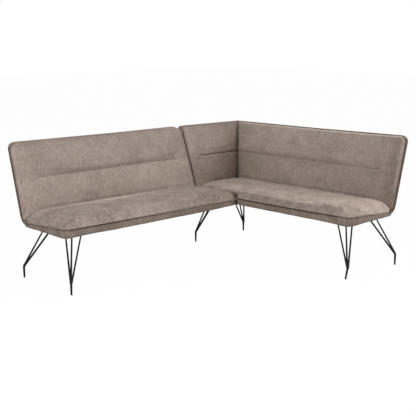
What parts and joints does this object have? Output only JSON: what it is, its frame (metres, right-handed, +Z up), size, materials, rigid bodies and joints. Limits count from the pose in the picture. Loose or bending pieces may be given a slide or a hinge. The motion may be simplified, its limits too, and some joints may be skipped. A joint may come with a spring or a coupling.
{
  "type": "corner bench",
  "caption": "Upholstered L-shaped corner bench: a corner seat and a joined side seat, with reclined channelled backs, on splayed black steel rod legs.",
  "frame": {"origin": "centre of the bounding box, on the floor under the feet", "axes": "+Z up; the left bench runs towards -X with its back towards +Y; the corner bench runs towards -Y with its back towards +X; the room's corner is at +X +Y"},
  "size_m": [2.0856, 1.5786, 0.88],
  "materials": {
    "main_fabric": "soft short-pile chenille, warm taupe",
    "border_fabric": "the same chenille, darker in the border band",
    "plywood": "birch plywood, sanded",
    "webbing": "black elastic webbing",
    "bottom_cloth": "black non-woven cloth",
    "leg_steel": "black powder coat, satin",
    "zinc_steel": "zinc-plated flat steel",
    "glide_plastic": "black plastic"
  },
  "bodies": {
    "root": {"corner_bottom_cloth": "bottom_cloth", "corner_cross_rail_1": "plywood", "corner_cross_rail_2": "plywood", "corner_end_rail": "plywood", "corner_front_rail": "plywood", "corner_inner_front_glide": "glide_plastic", "corner_inner_front_leg": "leg_steel", "corner_inner_rear_glide": "glide_plastic", "corner_inner_rear_leg": "leg_steel", "corner_leg_bearer": "plywood", "corner_outer_front_glide": "glide_plastic", "corner_outer_front_leg": "leg_steel", "corner_outer_rear_glide": "glide_plastic", "corner_outer_rear_leg": "leg_steel", "corner_rear_rail": "plywood", "corner_seat_border": "border_fabric", "corner_seat_cushion": "main_fabric", "corner_seat_webbing": "webbing", "corner_wall_rail": "plywood", "joining_plate_1": "zinc_steel", "joining_plate_2": "zinc_steel", "left_back_board": "plywood", "left_back_bracket_1": "zinc_steel", "left_back_bracket_2": "zinc_steel", "left_back_bracket_3": "zinc_steel", "left_back_cushion": "main_fabric", "left_back_shell": "main_fabric", "left_bottom_cloth": "bottom_cloth", "left_cross_rail_1": "plywood", "left_cross_rail_2": "plywood", "left_end_rail": "plywood", "left_front_glide": "glide_plastic", "left_front_leg": "leg_steel", "left_front_rail": "plywood", "left_joint_rail": "plywood", "left_leg_bearer": "plywood", "left_rear_glide": "glide_plastic", "left_rear_leg": "leg_steel", "left_rear_rail": "plywood", "left_seat_border": "border_fabric", "left_seat_cushion": "main_fabric", "left_seat_webbing": "webbing", "return_back_board": "plywood", "return_back_bracket_1": "zinc_steel", "return_back_bracket_2": "zinc_steel", "return_back_cushion": "main_fabric", "return_back_shell": "main_fabric", "right_back_board": "plywood", "right_back_bracket_1": "zinc_steel", "right_back_bracket_2": "zinc_steel", "right_back_bracket_3": "zinc_steel", "right_back_cushion": "main_fabric", "right_back_shell": "main_fabric"}
  },
  "joints": []
}
